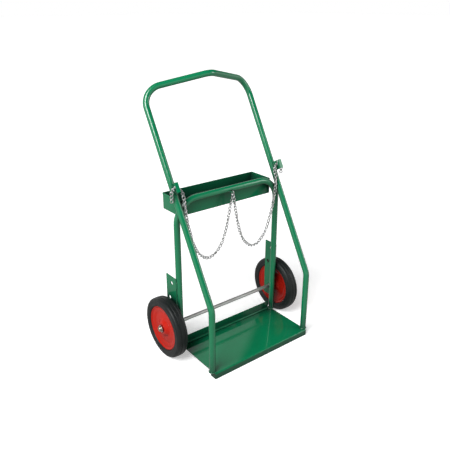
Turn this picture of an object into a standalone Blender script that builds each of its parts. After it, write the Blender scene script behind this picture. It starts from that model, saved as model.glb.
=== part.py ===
"""Oxy-acetylene torch cart: bent tube frame, base plate, tool tray, two wheels and two cylinder chains.

Metres, +Z up, the front (open side, where the cylinders go in) faces -Y, ground at z = 0.
"""

import bmesh
import bpy
import math
from mathutils import Matrix, Vector

GAP = 0.0003

# Where the axle runs; every Y below is measured from it
AXLE_Y = 0.0400
WHEEL_R = 0.127
AXLE_R = 0.00795
AXLE_HALF = 0.333

# Tubes
TUBE_R = 0.0125
TUBE_WALL = 0.0015
FOOT_X = 0.2465
HANDLE_X = 0.2505
FRONT_Y = -0.2400
KNEE_Z = 0.294
HANDLE_Y = 0.1850
HANDLE_Z = 1.044
CROSS_PUSH = 0.110
KNEE_BEND_R = 0.060
HANDLE_BEND_R = 0.072
CROSS_BEND_R = 0.060
REAR_X = 0.2510
REAR_Y = -0.0290
REAR_BAR_Z = 0.6630
REAR_BEND_R = 0.0928

# Base plate
PLATE_HALF_X = 0.2460
PLATE_TOP = 0.0260
PLATE_T = 0.0030
LIP_Y = -0.2600
LIP_BEND_R = 0.0050
FLANGE_Y = -0.0220
FLANGE_TOP = 0.0610
FLANGE_BEND_R = 0.0045
TAB_DEPTH = 0.0320

# Tray
TRAY_HALF_X = 0.2300
TRAY_FRONT = REAR_Y + TUBE_R + GAP
TRAY_DEPTH = 0.1210
TRAY_BOTTOM = 0.5940
TRAY_TOP = 0.6600
TRAY_T = 0.0015
TRAY_HEM = 0.0012
TRAY_HEM_H = 0.0080
TRAY_CORNER_R = 0.0040

# Axle brackets
BRACKET_T = 0.0040
BRACKET_X = REAR_X + TUBE_R + GAP
BRACKET_FRONT = -0.0310
BRACKET_BACK = 0.0380
BRACKET_BOTTOM = 0.0780
BRACKET_TOP = 0.3455
BRACKET_CORNER_R = 0.0020
SPARE_HOLES = ((0.018, 0.246), (0.000, 0.3165))
SPARE_HOLE_R = 0.0080

# Wheels
TYRE_HALF = 0.0250
WHEEL_X = 0.2990
RIM_R = 0.0930
HUB_R = 0.0135
HUB_BORE_R = 0.00804
WASHER_BORE_R = 0.0083
HUB_INNER_X = 0.2712
HUB_OUTER_X = 0.3262
RIM_T = 0.0016
WASHER_R = 0.0150
WASHER_T = 0.0018

# Keepers, set on the sloping tubes
KEEPER_Z = 0.7030
KEEPER_HALF = 0.0190
KEEPER_REACH = 0.0480
KEEPER_T = 0.0030
KEEPER_FLANGE = 0.0120
SLOT_W = 0.0052
SLOT_Y = -0.0340
SLOT_LINK_Z = 0.7220

# Chain
WIRE_R = 0.00175
LINK_IN_HALF = 0.00665
LINK_SIDE = 0.0050
TAIL_PITCH = 0.0125
TAIL_TURNS = (30.0, 60.0, 86.0, 90.0, 90.0)
TAIL_LINKS = {"left": 5, "right": 4}
CORD_R = 0.0068
EYE_Z = 0.6560

# Each chain hangs in a plane just ahead of the rear frame's bar: (distance from the middle, height)
SWAG_Y = -0.0530
SWAGS = {
    "left": (
        (0.0175, 0.590), (0.0270, 0.539), (0.0400, 0.492), (0.0590, 0.449), (0.0870, 0.419),
        (0.1150, 0.4065), (0.1420, 0.412), (0.1740, 0.444), (0.1950, 0.488), (0.2110, 0.548), (0.2220, 0.601),
    ),
    "right": (
        (0.0120, 0.585), (0.0230, 0.528), (0.0370, 0.477), (0.0570, 0.434), (0.0880, 0.403),
        (0.1120, 0.396), (0.1340, 0.401), (0.1590, 0.421), (0.1800, 0.450), (0.1970, 0.497),
        (0.2120, 0.549), (0.2220, 0.598),
    ),
}

MATERIALS = {
    "green_paint": ((0.024, 0.262, 0.130, 1.0), 0.0, 0.25),
    "red_paint": ((0.62, 0.030, 0.024, 1.0), 0.0, 0.3),
    "black_rubber": ((0.016, 0.018, 0.018, 1.0), 0.0, 0.75),
    "zinc_plate": ((0.62, 0.61, 0.60, 1.0), 1.0, 0.35),
    "bare_steel": ((0.50, 0.49, 0.48, 1.0), 1.0, 0.30),
}


def clear_scene():
    for obj in list(bpy.data.objects):
        bpy.data.objects.remove(obj, do_unlink=True)


def material(name, colour_of):
    colour, metallic, roughness = MATERIALS[colour_of]
    made = bpy.data.materials.new(name + "_mat")
    made.use_nodes = True
    shader = made.node_tree.nodes["Principled BSDF"]
    shader.inputs["Base Color"].default_value = colour
    shader.inputs["Metallic"].default_value = metallic
    shader.inputs["Roughness"].default_value = roughness
    made.diffuse_color = colour
    return made


def mesh_object(name, points, faces, colour_of, smooth=True, origin=(0.0, 0.0, 0.0)):
    """A named solid from world points; its origin is put at `origin`."""
    centre = Vector(origin)
    mesh = bpy.data.meshes.new(name)
    mesh.from_pydata([tuple(Vector(p) - centre) for p in points], [], faces)
    work = bmesh.new()
    work.from_mesh(mesh)
    bmesh.ops.remove_doubles(work, verts=work.verts, dist=1e-6)
    bmesh.ops.recalc_face_normals(work, faces=work.faces)
    work.to_mesh(mesh)
    work.free()
    obj = bpy.data.objects.new(name, mesh)
    obj.location = centre
    bpy.context.scene.collection.objects.link(obj)
    obj.data.materials.append(material(name, colour_of))
    if smooth:
        mesh.shade_smooth()
        mesh.set_sharp_from_angle(angle=math.radians(35))
    return obj


def boolean(target, cutter, operation="DIFFERENCE"):
    cutter.hide_render = True
    cutter.display_type = "WIRE"
    modifier = target.modifiers.new(operation.lower() + "_" + cutter.name, "BOOLEAN")
    modifier.operation = operation
    modifier.solver = "EXACT"
    modifier.object = cutter


def ring_faces(rings, closed_path, closed_ring=True):
    """Quads between successive rings of equal length."""
    count = len(rings[0])
    faces = []
    spans = len(rings) if closed_path else len(rings) - 1
    for i in range(spans):
        j = (i + 1) % len(rings)
        for k in range(count if closed_ring else count - 1):
            m = (k + 1) % count
            faces.append((i * count + k, i * count + m, j * count + m, j * count + k))
    return faces


def filleted(points, radii, step=math.radians(11.3)):
    """A polyline with each inner corner turned into an arc of its own radius."""
    path = [Vector(points[0])]
    for i in range(1, len(points) - 1):
        before, here, after = (Vector(points[i + k]) for k in (-1, 0, 1))
        into = (here - before).normalized()
        out = (after - here).normalized()
        turn = into.angle(out)
        radius = radii[i - 1]
        reach = radius * math.tan(turn / 2)
        start = here - into * reach
        side = (out - into * out.dot(into)).normalized()
        centre = start + side * radius
        count = max(2, math.ceil(turn / step))
        for k in range(count + 1):
            angle = turn * k / count
            path.append(centre - side * radius * math.cos(angle) + into * radius * math.sin(angle))
    path.append(Vector(points[-1]))
    return path


def frames_along(path, closed=False):
    """(point, side, up) at each point, turned as little as possible from one to the next."""
    count = len(path)
    tangents = []
    for i in range(count):
        if closed:
            tangent = path[(i + 1) % count] - path[i - 1]
        elif i == 0:
            tangent = path[1] - path[0]
        elif i == count - 1:
            tangent = path[-1] - path[-2]
        else:
            tangent = (path[i + 1] - path[i]).normalized() + (path[i] - path[i - 1]).normalized()
        tangents.append(tangent.normalized())
    first = tangents[0]
    guess = Vector((0, 0, 1)) if abs(first.z) < 0.9 else Vector((0, 1, 0))
    side = first.cross(guess).normalized()
    frames = []
    for i in range(count):
        side = (side - tangents[i] * side.dot(tangents[i])).normalized()
        frames.append((path[i], side, tangents[i].cross(side)))
    return frames


def circle_ring(frame, radius, segments):
    point, side, up = frame
    turns = [2 * math.pi * k / segments for k in range(segments)]
    return [point + side * radius * math.cos(t) + up * radius * math.sin(t) for t in turns]


def hollow_tube(name, path, radius, wall, colour_of, segments=16):
    frames = frames_along(path)
    outer = [circle_ring(f, radius, segments) for f in frames]
    inner = [circle_ring(f, radius - wall, segments) for f in reversed(frames)]
    rings = outer + inner
    return mesh_object(name, sum(rings, []), ring_faces(rings, True), colour_of)


def revolved(name, profile, centre, colour_of, segments, origin=None):
    """Turns a closed profile of (x, r) pairs about the X axis through centre."""
    points = []
    for x, r in profile:
        for k in range(segments):
            turn = 2 * math.pi * k / segments
            points.append((x, centre[1] + r * math.cos(turn), centre[2] + r * math.sin(turn)))
    rings = [points[i * segments:(i + 1) * segments] for i in range(len(profile))]
    faces = ring_faces(rings, True)
    return mesh_object(name, points, faces, colour_of, origin=origin or centre)


def capped(name, profile, centre, colour_of, segments, origin=None):
    """Turns an open profile that starts and ends on the axis: its ends are closed by fans."""
    points = [(profile[0][0], centre[1], centre[2])]
    for x, r in profile[1:-1]:
        for k in range(segments):
            turn = 2 * math.pi * k / segments
            points.append((x, centre[1] + r * math.cos(turn), centre[2] + r * math.sin(turn)))
    points.append((profile[-1][0], centre[1], centre[2]))
    faces = []
    last = len(points) - 1
    rows = len(profile) - 2
    for k in range(segments):
        m = (k + 1) % segments
        faces.append((0, 1 + k, 1 + m))
        faces.append((last, 1 + (rows - 1) * segments + m, 1 + (rows - 1) * segments + k))
        for i in range(rows - 1):
            a = 1 + i * segments
            b = a + segments
            faces.append((a + k, a + m, b + m, b + k))
    return mesh_object(name, points, faces, colour_of, origin=origin or centre)


def extruded(name, outline, axis, low, high, colour_of, smooth=False, origin=(0.0, 0.0, 0.0)):
    """A prism: the outline's pairs fill the two axes other than `axis`, in order."""
    others = [i for i in range(3) if i != axis]
    points = []
    for level in (low, high):
        for pair in outline:
            p = [0.0, 0.0, 0.0]
            p[axis] = level
            p[others[0]], p[others[1]] = pair
            points.append(p)
    n = len(outline)
    faces = [tuple(range(n)), tuple(range(2 * n - 1, n - 1, -1))]
    faces += [(k, (k + 1) % n, n + (k + 1) % n, n + k) for k in range(n)]
    return mesh_object(name, points, faces, colour_of, smooth=smooth, origin=origin)


def box_outline(x0, x1, y0, y1):
    return [(x0, y0), (x1, y0), (x1, y1), (x0, y1)]


def rounded_outline(x0, x1, y0, y1, radius, steps=4):
    points = []
    corners = ((x1, y1, 0), (x0, y1, 1), (x0, y0, 2), (x1, y0, 3))
    for cx, cy, quarter in corners:
        mx = cx - radius if cx == x1 else cx + radius
        my = cy - radius if cy == y1 else cy + radius
        for k in range(steps + 1):
            turn = math.pi / 2 * (quarter + k / steps)
            points.append((mx + radius * math.cos(turn), my + radius * math.sin(turn)))
    return points


def arc(cx, cy, radius, start, end, steps):
    """Points of an arc between two angles in degrees."""
    turns = [math.radians(start + (end - start) * k / steps) for k in range(steps + 1)]
    return [(cx + radius * math.cos(t), cy + radius * math.sin(t)) for t in turns]


def y_of(offset):
    return AXLE_Y + offset


def side_y(z):
    """Centre of the sloping tube at height z."""
    return y_of(FRONT_Y + (HANDLE_Y - FRONT_Y) * (z - KNEE_Z) / (HANDLE_Z - KNEE_Z))


def side_x(z):
    return FOOT_X + (HANDLE_X - FOOT_X) * (z - KNEE_Z) / (HANDLE_Z - KNEE_Z)


def slope():
    """(dy, dz) of the sloping tubes, upward, of unit length."""
    dy, dz = HANDLE_Y - FRONT_Y, HANDLE_Z - KNEE_Z
    length = math.hypot(dy, dz)
    return dy / length, dz / length


def main_frame_tube():
    dy, dz = slope()
    foot_z = PLATE_TOP + GAP
    middle = (0.0, y_of(HANDLE_Y) - dz * CROSS_PUSH, HANDLE_Z + dy * CROSS_PUSH)
    points = [
        (-FOOT_X, y_of(FRONT_Y), foot_z),
        (-FOOT_X, y_of(FRONT_Y), KNEE_Z),
        (-HANDLE_X, y_of(HANDLE_Y), HANDLE_Z),
        middle,
        (HANDLE_X, y_of(HANDLE_Y), HANDLE_Z),
        (FOOT_X, y_of(FRONT_Y), KNEE_Z),
        (FOOT_X, y_of(FRONT_Y), foot_z),
    ]
    radii = [KNEE_BEND_R, HANDLE_BEND_R, CROSS_BEND_R, HANDLE_BEND_R, KNEE_BEND_R]
    hollow_tube("main_frame_tube", filleted(points, radii), TUBE_R, TUBE_WALL, "green_paint")


def rear_frame_tube():
    foot_z = PLATE_TOP + GAP
    y = y_of(REAR_Y)
    points = [
        (-REAR_X, y, foot_z),
        (-REAR_X, y, REAR_BAR_Z),
        (REAR_X, y, REAR_BAR_Z),
        (REAR_X, y, foot_z),
    ]
    radii = [REAR_BEND_R, REAR_BEND_R]
    hollow_tube("rear_frame_tube", filleted(points, radii), TUBE_R, TUBE_WALL, "green_paint")


def base_plate():
    """Sheet with a lip folded down at the front and a flange folded up between the rear tubes."""
    front, back = y_of(LIP_Y), y_of(FLANGE_Y)
    top, under = PLATE_TOP, PLATE_TOP - PLATE_T
    r, t = LIP_BEND_R, PLATE_T
    rear_end = y_of(REAR_Y) + TUBE_R
    outline = [(front + t, 0.0), (front, 0.0)]
    outline += arc(front + r, top - r, r, 180, 90, 5)
    outline += [(rear_end, top), (rear_end, under)]
    outline += arc(front + r, top - r, r - t, 90, 180, 5)
    plate = extruded("base_plate", outline, 0, -PLATE_HALF_X, PLATE_HALF_X, "green_paint", smooth=True)
    inner_x = REAR_X - TUBE_R - 0.0010
    notch = extruded(
        "notch_cutter", box_outline(-inner_x, inner_x, back - 0.010, rear_end + 0.01),
        2, under - 0.01, top + 0.01, "green_paint",
    )
    boolean(plate, notch)
    fr = FLANGE_BEND_R
    flange = [(back - 0.0102, top), (back - 0.0102, under), (back + t - fr - t, under)]
    flange += arc(back - fr, under + fr + t, fr + t, -90, 0, 5)
    flange += [(back + t, FLANGE_TOP), (back, FLANGE_TOP)]
    flange += arc(back - fr, top + fr, fr, 0, -90, 5)
    clean = [flange[0]]
    for p in flange[1:]:
        if math.dist(p, clean[-1]) > 1e-5:
            clean.append(p)
    up = extruded("flange_joiner", clean, 0, -inner_x + 0.0005, inner_x - 0.0005, "green_paint")
    boolean(plate, up, "UNION")
    for side, x in (("left", -PLATE_HALF_X), ("right", PLATE_HALF_X)):
        inward = x - math.copysign(PLATE_T, x)
        tab = extruded(
            "tab_joiner_" + side,
            box_outline(min(x, inward), max(x, inward), front + 0.0045, front + TAB_DEPTH),
            2, 0.0, top - 0.0012, "green_paint",
        )
        boolean(plate, tab, "UNION")


def tray():
    """Open-topped box with a folded hem round its rim."""
    y0 = y_of(TRAY_FRONT)
    y1 = y0 + TRAY_DEPTH
    hem, t, r = TRAY_HEM, TRAY_T, TRAY_CORNER_R

    def ring(inset, z):
        pairs = rounded_outline(
            -TRAY_HALF_X + inset, TRAY_HALF_X - inset, y0 + inset, y1 - inset, r - inset + hem
        )
        return [(x, y, z) for x, y in pairs]

    hem_z = TRAY_TOP - TRAY_HEM_H
    rings = [
        ring(hem + 0.0012, TRAY_BOTTOM),
        ring(hem, TRAY_BOTTOM + 0.0012),
        ring(hem, hem_z - 0.0006),
        ring(0.0, hem_z),
        ring(0.0, TRAY_TOP - 0.0006),
        ring(0.0006, TRAY_TOP),
        ring(hem + t, TRAY_TOP),
        ring(hem + t, TRAY_BOTTOM + t),
    ]
    n = len(rings[0])
    faces = ring_faces(rings, False)
    faces.append(tuple(range(n)))
    faces.append(tuple(range(7 * n, 8 * n)))
    mesh_object("tray", sum(rings, []), faces, "green_paint")


def axle_bracket(side, sign):
    outline = rounded_outline(
        y_of(BRACKET_FRONT), y_of(BRACKET_BACK), BRACKET_BOTTOM, BRACKET_TOP, BRACKET_CORNER_R, 3
    )
    near, far = sign * BRACKET_X, sign * (BRACKET_X + BRACKET_T)
    plate = extruded("axle_bracket_" + side, outline, 0, min(near, far), max(near, far), "green_paint")
    holes = [(0.0, WHEEL_R, AXLE_R + GAP)] + [(y, z, SPARE_HOLE_R) for y, z in SPARE_HOLES]
    for index, (y, z, radius) in enumerate(holes):
        middle = sign * (BRACKET_X + BRACKET_T / 2)
        profile = [(middle - 0.01, 0.0), (middle - 0.01, radius), (middle + 0.01, radius), (middle + 0.01, 0.0)]
        cutter = capped(
            f"hole_cutter_{side}_{index}", profile, (middle, y_of(y), z), "green_paint", 20
        )
        boolean(plate, cutter)


def axle():
    c = 0.0012
    profile = [
        (-AXLE_HALF, 0.0), (-AXLE_HALF, AXLE_R - c), (-AXLE_HALF + c, AXLE_R),
        (AXLE_HALF - c, AXLE_R), (AXLE_HALF, AXLE_R - c), (AXLE_HALF, 0.0),
    ]
    capped("axle", profile, (0.0, AXLE_Y, WHEEL_R), "bare_steel", 24)


def tyre_profile():
    """(offset from the middle, radius) round the tyre, starting at the bore."""
    h, top, bead = TYRE_HALF, WHEEL_R, RIM_R + GAP
    half = [
        (h - 0.0060, bead), (h - 0.0010, bead + 0.0030), (h, bead + 0.0170),
        (h - 0.0022, top - 0.0065), (h - 0.0065, top - 0.0020),
        (0.0105, top - 0.0003), (0.0095, top - 0.0026), (0.0068, top - 0.0026), (0.0060, top),
    ]
    return half + [(-x, r) for x, r in reversed(half)]


def rim_profile(outer):
    """Pressed disc half: hub seat, dished web, shoulder and rolled edge."""
    sign = 1 if outer else -1
    bore = HUB_R + GAP
    face = [
        (0.0230, bore), (0.0230, 0.0230), (0.0120, 0.0380), (0.0105, 0.0660),
        (0.0145, 0.0770), (0.0145, 0.0840), (0.0205, RIM_R - 0.0020),
    ]
    back = [(x - RIM_T, r) for x, r in face[:-1]]
    back.append((face[-1][0] - 0.0012, RIM_R - 0.0002))
    return [(sign * x, r) for x, r in face + back[::-1]]


def wheel(side, sign):
    centre = (sign * WHEEL_X, AXLE_Y, WHEEL_R)

    def turned(label, profile, colour_of, segments):
        pairs = [(sign * x, r) for x, r in profile]
        return revolved(f"{label}_{side}", pairs, centre, colour_of, segments)

    turned("tyre", [(WHEEL_X + x, r) for x, r in tyre_profile()], "black_rubber", 48)
    turned("rim_outer", [(WHEEL_X + x, r) for x, r in rim_profile(True)], "red_paint", 32)
    turned("rim_inner", [(WHEEL_X + x, r) for x, r in rim_profile(False)], "red_paint", 32)
    hub = [
        (HUB_INNER_X, HUB_BORE_R), (HUB_INNER_X, HUB_R), (HUB_OUTER_X, HUB_R), (HUB_OUTER_X, HUB_BORE_R),
    ]
    turned("hub", hub, "red_paint", 32)
    for label, start in (("washer_inner", HUB_INNER_X - GAP - WASHER_T), ("washer_outer", HUB_OUTER_X + GAP)):
        washer = [
            (start, WASHER_BORE_R), (start, WASHER_R), (start + WASHER_T, WASHER_R),
            (start + WASHER_T, WASHER_BORE_R),
        ]
        turned(label, washer, "zinc_plate", 20)
    cap_start = HUB_OUTER_X + WASHER_T + 2 * GAP
    shell = [
        (cap_start, AXLE_R + GAP), (cap_start, 0.0112), (cap_start + 0.0012, 0.0112), (cap_start + 0.0020, 0.0103),
        (cap_start + 0.0060, 0.0098), (cap_start + 0.0082, 0.0080), (cap_start + 0.0090, 0.0055),
        (cap_start + 0.0092, 0.0), (cap_start + 0.0080, 0.0), (cap_start + 0.0078, 0.0048),
        (cap_start + 0.0066, AXLE_R + GAP),
    ]
    cap_solid(f"axle_cap_{side}", shell, sign, centre)


def cap_solid(name, shell, sign, centre, segments=20):
    """Thin domed cap: two of its profile points lie on the axis."""
    points, rows = [], []
    for x, r in shell:
        if r == 0.0:
            rows.append([len(points)])
            points.append((sign * x, centre[1], centre[2]))
            continue
        rows.append(list(range(len(points), len(points) + segments)))
        for k in range(segments):
            turn = 2 * math.pi * k / segments
            points.append((sign * x, centre[1] + r * math.cos(turn), centre[2] + r * math.sin(turn)))
    faces = []
    for i in range(len(rows)):
        a, b = rows[i], rows[(i + 1) % len(rows)]
        if len(a) == 1 and len(b) == 1:
            continue
        for k in range(segments):
            m = (k + 1) % segments
            corners = (a[k % len(a)], a[m % len(a)], b[m % len(b)], b[k % len(b)])
            face = []
            for corner in corners:
                if corner not in face:
                    face.append(corner)
            faces.append(tuple(face))
    mesh_object(name, points, faces, "zinc_plate", origin=centre)


def slot_bottom():
    return SLOT_LINK_Z - LINK_SIDE - WIRE_R - GAP


def keeper(side, sign):
    """Slotted plate on the front of the sloping tube, with its front edge folded outward."""
    dy, dz = slope()
    centre = Vector((0.0, side_y(KEEPER_Z), KEEPER_Z))
    x = side_x(KEEPER_Z)

    def at(u, v):
        """u runs up the tube, v runs forward from its centre."""
        return (centre.y + dy * u - dz * v, centre.z + dz * u + dy * v)

    near = TUBE_R + GAP
    outline = [at(-KEEPER_HALF, near), at(-KEEPER_HALF, KEEPER_REACH), at(KEEPER_HALF, KEEPER_REACH), at(KEEPER_HALF, near)]
    a, b = sign * (x - KEEPER_T / 2), sign * (x + KEEPER_T / 2)
    plate = extruded("keeper_" + side, outline, 0, min(a, b), max(a, b), "green_paint")
    inner = KEEPER_REACH - KEEPER_T
    fold = [at(-KEEPER_HALF, inner), at(-KEEPER_HALF, KEEPER_REACH), at(KEEPER_HALF, KEEPER_REACH), at(KEEPER_HALF, inner)]
    c = sign * (x + KEEPER_T / 2 + KEEPER_FLANGE)
    d = sign * (x - KEEPER_T / 2)
    flange = extruded("keeper_fold_joiner_" + side, fold, 0, min(c, d), max(c, d), "green_paint")
    boolean(plate, flange, "UNION")
    slot_y = y_of(SLOT_Y)
    cut = extruded(
        "slot_cutter_" + side,
        box_outline(slot_y - SLOT_W / 2, slot_y + SLOT_W / 2, slot_bottom(), SLOT_LINK_Z + 0.08),
        0, min(a, b) - 0.002, max(a, b) + 0.002, "green_paint",
    )
    boolean(plate, cut)


def link_points(centre, along, across):
    """Centreline of one oval link."""
    reach = LINK_IN_HALF + WIRE_R - LINK_SIDE
    points = []
    for k in range(7):
        turn = math.pi * k / 6 - math.pi / 2
        points.append(centre + along * (reach + LINK_SIDE * math.cos(turn)) + across * LINK_SIDE * math.sin(turn))
    for k in range(7):
        turn = math.pi * k / 6 + math.pi / 2
        points.append(centre + along * (-reach + LINK_SIDE * math.cos(turn)) + across * LINK_SIDE * math.sin(turn))
    return points


def chain_link(name, centre, along, across, origin=None):
    path = link_points(Vector(centre), Vector(along).normalized(), Vector(across).normalized())
    frames = frames_along(path, closed=True)
    rings = [circle_ring(f, WIRE_R, 6) for f in frames]
    return mesh_object(name, sum(rings, []), ring_faces(rings, True), "zinc_plate", origin=origin or centre)


def chain_tail(side, sign):
    """The link held in the keeper's slot, and the free links that hang over the tube outside it."""
    x = side_x(KEEPER_Z)
    y = y_of(SLOT_Y)
    chain_link(f"slot_link_{side}", (sign * x, y, SLOT_LINK_Z), (1, 0, 0), (0, 0, 1))
    joint = Vector((x + TAIL_PITCH / 2, y, SLOT_LINK_Z))
    pivot = (sign * joint.x, joint.y, joint.z)
    for i in range(TAIL_LINKS[side]):
        turn = math.radians(TAIL_TURNS[i])
        along = Vector((math.cos(turn), 0.0, -math.sin(turn)))
        centre = joint + along * (TAIL_PITCH / 2)
        across = (0.0, 1.0, 0.0) if i % 2 == 0 else (math.sin(turn) * sign, 0.0, math.cos(turn))
        place = (sign * centre.x, centre.y, centre.z)
        way = (sign * along.x, along.y, along.z)
        chain_link(f"tail_link_{side}_{i + 1}", place, way, across, origin=pivot)
        joint = joint + along * TAIL_PITCH


def chain_eye():
    """Staple on the front of the rear frame's bar, with the ring link that both chains hang from."""
    y = y_of(REAR_Y) - TUBE_R - GAP
    z = EYE_Z
    out = 0.0100
    half = 0.0060
    points = [(-half, y, z), (-half, y - out, z), (half, y - out, z), (half, y, z)]
    path = filleted(points, [0.0055, 0.0055], math.radians(20))
    frames = frames_along(path)
    rings = [circle_ring(f, 0.0020, 10) for f in frames]
    points = sum(rings, [])
    faces = ring_faces(rings, False)
    faces.append(tuple(range(10)))
    faces.append(tuple(range(len(points) - 10, len(points))))
    mesh_object("chain_eye", points, faces, "green_paint")
    ring_z = z + 0.0020 + GAP + WIRE_R - (LINK_IN_HALF + WIRE_R)
    chain_link("eye_link", (0.0, y - out, ring_z), (0, 0, 1), (0, 1, 0), origin=(0.0, y - out, z))


def swag_route(side, sign):
    """Points through which one chain hangs, from under the eye link to just inboard of its slot link."""
    eye_y = REAR_Y - TUBE_R - GAP - 0.0100
    x = side_x(KEEPER_Z)
    route = [(0.0090, eye_y - 0.0006, EYE_Z - 0.0300)]
    route += [(px, SWAG_Y, pz) for px, pz in SWAGS[side]]
    route += [(0.2270, -0.0525, 0.6420), (0.2290, -0.0490, 0.6740), (0.2300, -0.0410, 0.6980)]
    route.append((x - 0.0182, SLOT_Y - 0.0020, SLOT_LINK_Z - 0.0040))
    return [Vector((sign * px, y_of(py), pz)) for px, py, pz in route]


def smooth_route(points, spacing):
    """Evenly spaced points on a Catmull-Rom curve through the given ones."""
    padded = [points[0] * 2 - points[1]] + points + [points[-1] * 2 - points[-2]]
    fine = []
    for i in range(len(points) - 1):
        p0, p1, p2, p3 = padded[i:i + 4]
        for k in range(40):
            t = k / 40
            a = p1 * 2
            b = (p2 - p0) * t
            c = (p0 * 2 - p1 * 5 + p2 * 4 - p3) * t * t
            d = (p1 * 3 - p0 - p2 * 3 + p3) * t * t * t
            fine.append((a + b + c + d) * 0.5)
    fine.append(points[-1])
    lengths = [0.0]
    for i in range(1, len(fine)):
        lengths.append(lengths[-1] + (fine[i] - fine[i - 1]).length)
    count = round(lengths[-1] / spacing)
    result, j = [], 0
    for k in range(count + 1):
        want = lengths[-1] * k / count
        while j < len(fine) - 2 and lengths[j + 1] < want:
            j += 1
        part = (want - lengths[j]) / (lengths[j + 1] - lengths[j])
        result.append(fine[j].lerp(fine[j + 1], min(1.0, max(0.0, part))))
    return result


def chain_swag(side, sign):
    route = swag_route(side, sign)
    start = route[0]
    points = smooth_route(route, 0.0140)
    curve = bpy.data.curves.new("chain_" + side, "CURVE")
    curve.dimensions = "3D"
    curve.bevel_depth = CORD_R
    curve.bevel_resolution = 2
    curve.use_fill_caps = True
    spline = curve.splines.new("POLY")
    spline.points.add(len(points) - 1)
    for slot, p in zip(spline.points, points):
        q = p - start
        slot.co = (q.x, q.y, q.z, 1.0)
    obj = bpy.data.objects.new("chain_" + side, curve)
    obj.location = start
    bpy.context.scene.collection.objects.link(obj)
    curve.materials.append(material("chain_" + side, "zinc_plate"))


def main():
    clear_scene()
    main_frame_tube()
    rear_frame_tube()
    base_plate()
    tray()
    axle()
    chain_eye()
    for side, sign in (("left", -1), ("right", 1)):
        axle_bracket(side, sign)
        wheel(side, sign)
        keeper(side, sign)
        chain_tail(side, sign)
        chain_swag(side, sign)


main()
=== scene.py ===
"""Looks of the oxy-acetylene torch cart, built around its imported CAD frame.

Metres, +Z up, the open front faces -Y and the ground is z = 0.
"""

import math

import bmesh
import bpy
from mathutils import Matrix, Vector

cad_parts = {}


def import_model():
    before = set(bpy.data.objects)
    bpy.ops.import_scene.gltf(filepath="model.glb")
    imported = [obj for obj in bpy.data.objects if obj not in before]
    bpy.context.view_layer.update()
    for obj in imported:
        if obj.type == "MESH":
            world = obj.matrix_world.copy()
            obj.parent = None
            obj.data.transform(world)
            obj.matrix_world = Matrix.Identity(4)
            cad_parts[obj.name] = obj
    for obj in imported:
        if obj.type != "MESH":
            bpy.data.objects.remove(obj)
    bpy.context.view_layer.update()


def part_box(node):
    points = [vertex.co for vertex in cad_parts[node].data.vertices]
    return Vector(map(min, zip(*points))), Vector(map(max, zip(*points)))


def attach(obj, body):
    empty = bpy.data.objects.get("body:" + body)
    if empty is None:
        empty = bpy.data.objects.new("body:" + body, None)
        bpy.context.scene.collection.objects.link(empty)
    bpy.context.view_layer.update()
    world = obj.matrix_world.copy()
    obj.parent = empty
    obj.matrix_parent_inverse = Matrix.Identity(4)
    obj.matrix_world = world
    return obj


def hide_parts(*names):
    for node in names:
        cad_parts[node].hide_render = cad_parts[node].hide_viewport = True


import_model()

SIDES = (("left", -1), ("right", 1))
GAP = 0.0003


def middle(node):
    low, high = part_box(node)
    return (low + high) / 2


def half(node):
    low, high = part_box(node)
    return (high - low) / 2


# Driving sizes, read from the frame where it holds them
AXLE = middle("axle")
AXLE_Y = AXLE.y
AXLE_HALF = half("axle").x
AXLE_R = half("axle").z
WHEEL_R = half("tyre_right").z
WHEEL_X = middle("tyre_right").x
TYRE_HALF = half("tyre_right").x
RIM_R = half("rim_outer_right").z
HUB_R = half("hub_right").z
TUBE_R = half("rear_frame_tube").y
REAR_X = half("rear_frame_tube").x - TUBE_R
REAR_Y = middle("rear_frame_tube").y
REAR_BAR_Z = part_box("rear_frame_tube")[1].z - TUBE_R
REAR_BEND_R = 0.0928
FOOT_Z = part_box("rear_frame_tube")[0].z

# The handle's tube: foot, knee, handle corner, middle of the cross bar
FOOT_X = 0.2465
HANDLE_X = 0.2505
FRONT_Y = AXLE_Y - 0.2400
KNEE_Z = 0.294
HANDLE_Y = AXLE_Y + 0.1850
HANDLE_Z = 1.044
CROSS_PUSH = 0.110
KNEE_BEND_R = 0.060
HANDLE_BEND_R = 0.072
CROSS_BEND_R = 0.060

# Sheet parts
PLATE_T = 0.0030
PLATE_TOP = 0.0260
LIP_BEND_R = 0.0050
FLANGE_Y = AXLE_Y - 0.0220
FLANGE_BEND_R = 0.0045
TAB_DEPTH = 0.0320
TRAY_T = 0.0015
TRAY_HEM = 0.0012
TRAY_HEM_H = 0.0080
TRAY_CORNER_R = 0.0040
BRACKET_CORNER_R = 0.0020
SPARE_HOLES = ((AXLE_Y + 0.018, 0.246), (AXLE_Y, 0.3165))
SPARE_HOLE_R = 0.0080

# Keepers on the sloping tubes
KEEPER_Z = 0.7030
KEEPER_HALF = 0.0190
KEEPER_REACH = 0.0480
KEEPER_T = 0.0030
KEEPER_FLANGE = 0.0120
SLOT_W = 0.0052
SLOT_Y = AXLE_Y - 0.0340
SLOT_LINK_Z = 0.7220

# Chain: wire, half of a link's inside length, distance of its sides from its middle
WIRE_R = 0.00175
LINK_IN_HALF = 0.00665
LINK_SIDE = 0.0050
LINK_REACH = LINK_IN_HALF + WIRE_R
LINK_TWIST = math.radians(58)
HOOK = LINK_REACH - 2 * WIRE_R
TAIL_PITCH = 0.0125
TAIL_TURNS = (30.0, 60.0, 86.0, 90.0, 90.0)
TAIL_LINKS = {"left": 5, "right": 4}
EYE_OUT = 0.0100
EYE_SIDE = 0.0056
EYE_Y = REAR_Y - TUBE_R - GAP - EYE_OUT
EYE_Z = 0.6560
EYE_LINK_Z = middle("eye_link").z

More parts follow.
